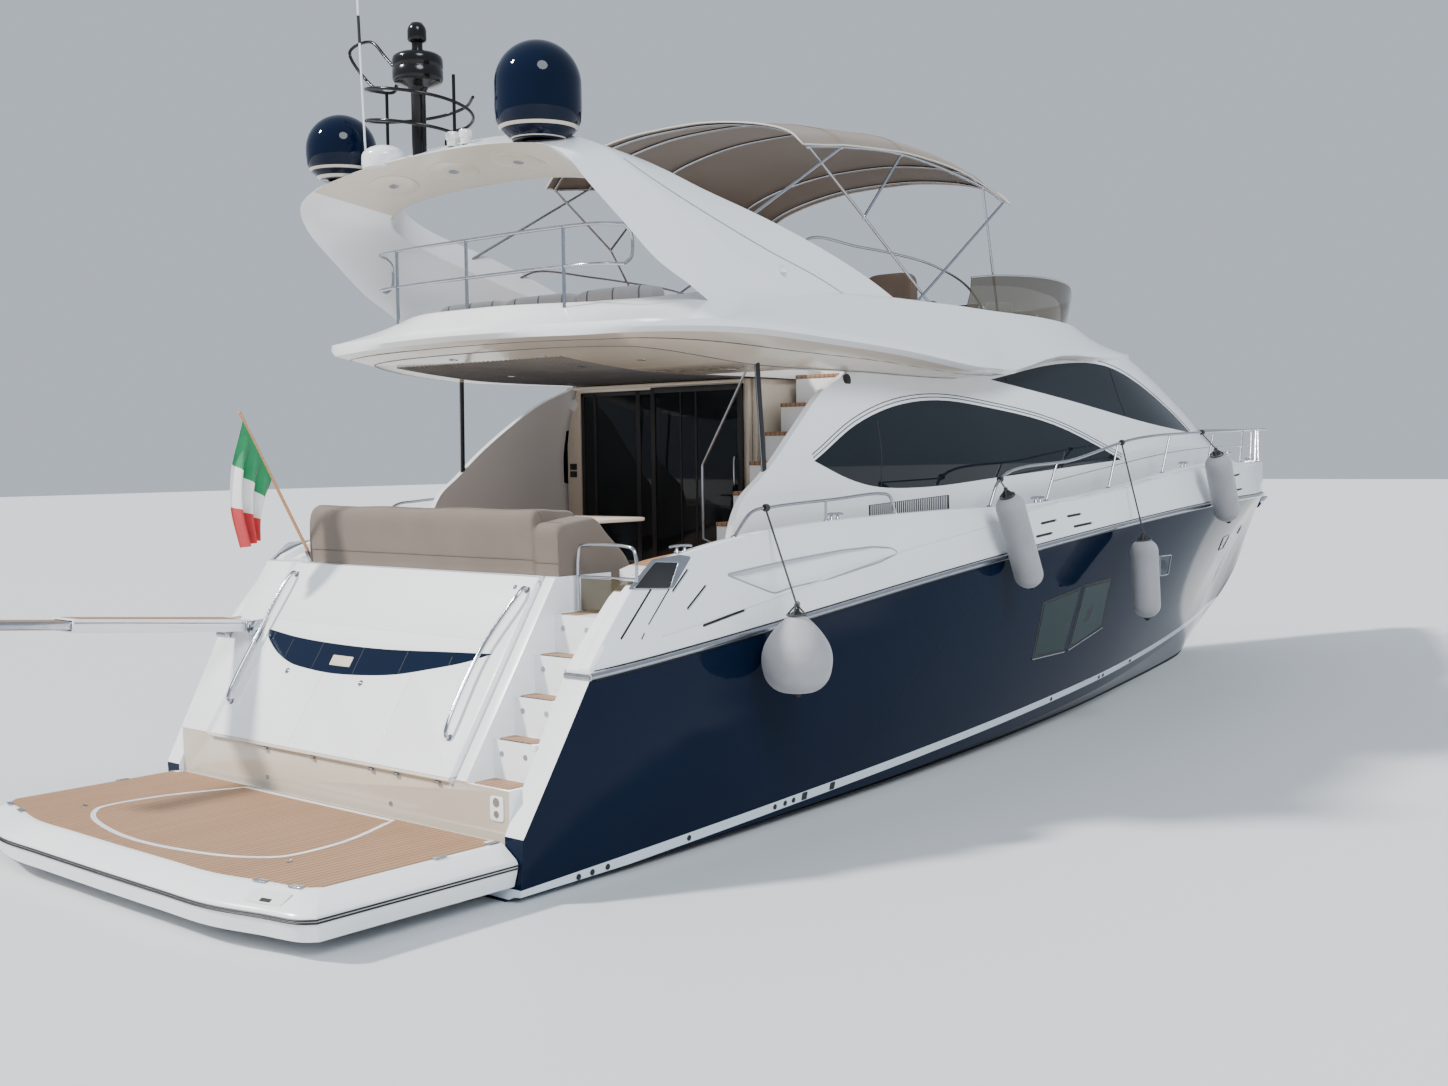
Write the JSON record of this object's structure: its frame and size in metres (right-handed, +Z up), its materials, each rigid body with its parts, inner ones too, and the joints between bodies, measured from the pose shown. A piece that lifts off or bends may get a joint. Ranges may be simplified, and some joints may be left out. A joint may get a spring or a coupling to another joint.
{
  "type": "flybridge motor yacht",
  "caption": "Flybridge motor yacht afloat: dark hull, white topsides, raked arch with domes, canvas top, swim platform, tender garage door, gangway, fenders and propellers.",
  "frame": {"origin": "on the centreline at the waterline, amidships (11 m forward of the swim platform's aft edge)", "axes": "+X to the bow, +Y to port, +Z up"},
  "size_m": [22.3521, 6.0317, 9.7351],
  "materials": {
    "navy": "high-gloss dark blue gelcoat",
    "white": "gloss white gelcoat",
    "cream": "soft cream upholstery",
    "teak": "sanded teak with dark caulking",
    "glass": "dark tinted glass",
    "steel": "polished stainless steel",
    "black": "satin black",
    "canvas": "woven taupe canvas",
    "fender": "knitted grey-taupe cover",
    "bronze": "machined bronze",
    "engine": "satin paint",
    "flag": "light woven cloth"
  },
  "bodies": {
    "boat": {"hull": "navy", "rubbing_strake": "steel", "foredeck": "white", "topsides_port": "white", "topsides_starboard": "white", "cockpit_moulding": "white", "engine_port": "engine", "engine_starboard": "engine", "side_rail_port": "steel", "side_rail_starboard": "steel", "house": "white", "saloon_bulkhead": "white", "saloon_door_glass": "glass", "saloon_interior": "cream", "fly_stair": "white", "sofa_cover": "canvas", "cockpit_table": "teak", "pillar_port": "black", "pillar_starboard": "black", "saloon_glass_port": "glass", "saloon_glass_starboard": "glass", "pilothouse_glass_port": "glass", "pilothouse_glass_starboard": "glass", "windscreen": "glass", "flybridge": "white", "radar_arch": "white", "dome_starboard": "navy", "dome_port": "navy", "mast": "black", "mast_guard": "black", "canopy": "canvas", "canopy_frame": "steel", "fly_rail": "steel", "bow_rail": "steel", "fly_sofa": "cream", "fly_console": "white", "fly_helm_seat": "cream", "fly_screen": "glass", "whip_antenna": "white", "windlass": "steel", "anchor": "steel", "ensign_staff": "steel", "ensign": "flag", "fender_pear": "fender", "fender_mid": "fender", "fender_fore": "fender", "fender_bow": "fender"},
    "propeller_port": {"propeller_port": "bronze"},
    "propeller_starboard": {"propeller_starboard": "bronze"},
    "rudder_port": {"rudder_port": "bronze"},
    "rudder_starboard": {"rudder_starboard": "bronze"},
    "trim_tab_port": {"trim_tab_port": "steel"},
    "trim_tab_starboard": {"trim_tab_starboard": "steel"},
    "garage_door": {"garage_door": "white", "garage_glass": "glass"},
    "swim_platform": {"swim_platform": "white"},
    "saloon_door": {"saloon_door": "glass"},
    "fore_hatch": {"fore_hatch": "glass"},
    "gangway_outer": {"gangway_outer": "steel"},
    "gangway_inner": {"gangway_inner": "steel"}
  },
  "joints": [
    {"name": "propeller_port_spin", "type": "hinge", "parent": "boat", "child": "propeller_port", "pos_m": [-7.75, 0.95, -1.06], "axis": [0.9877, 0, 0.1564], "continuous": true},
    {"name": "rudder_port_turn", "type": "hinge", "parent": "boat", "child": "rudder_port", "pos_m": [-8.36, 0.95, -0.48], "axis": [0, 0, 1], "range_deg": [-35, 35]},
    {"name": "trim_tab_port_hinge", "type": "hinge", "parent": "boat", "child": "trim_tab_port", "pos_m": [-8.9123, 1.3, -0.4], "axis": [0, -0.9244, -0.3813], "range_deg": [0, 20]},
    {"name": "propeller_starboard_spin", "type": "hinge", "parent": "boat", "child": "propeller_starboard", "pos_m": [-7.75, -0.95, -1.06], "axis": [0.9877, 0, 0.1564], "continuous": true},
    {"name": "rudder_starboard_turn", "type": "hinge", "parent": "boat", "child": "rudder_starboard", "pos_m": [-8.36, -0.95, -0.48], "axis": [0, 0, 1], "range_deg": [-35, 35]},
    {"name": "trim_tab_starboard_hinge", "type": "hinge", "parent": "boat", "child": "trim_tab_starboard", "pos_m": [-8.9123, -1.3, -0.4], "axis": [0, -0.9244, 0.3813], "range_deg": [0, 20]},
    {"name": "garage_door_hinge", "type": "hinge", "parent": "boat", "child": "garage_door", "pos_m": [-7.88161, 0, 2.30692], "axis": [0, 1, 0], "range_deg": [0, 60]},
    {"name": "swim_platform_lift", "type": "slide", "parent": "boat", "child": "swim_platform", "axis": [0, 0, -1], "range_m": [0, 0.3]},
    {"name": "saloon_door_slide", "type": "slide", "parent": "boat", "child": "saloon_door", "axis": [0, 1, 0], "range_m": [0, 1.15]},
    {"name": "fore_hatch_hinge", "type": "hinge", "parent": "boat", "child": "fore_hatch", "pos_m": [8.75, 0, 3.001], "axis": [0, 1, 0], "range_deg": [0, 70]},
    {"name": "gangway_lift", "type": "hinge", "parent": "boat", "child": "gangway_outer", "pos_m": [-8.4, 2.04, 1.78], "axis": [0, 1, 0], "range_deg": [-8, 20]},
    {"name": "gangway_extend", "type": "slide", "parent": "gangway_outer", "child": "gangway_inner", "axis": [0.9962, 0, -0.0872], "range_m": [0, 0.9]}
  ],
  "couplings": [
    {"joint": "rudder_starboard_turn", "follows": "rudder_port_turn", "ratio": 1}
  ]
}
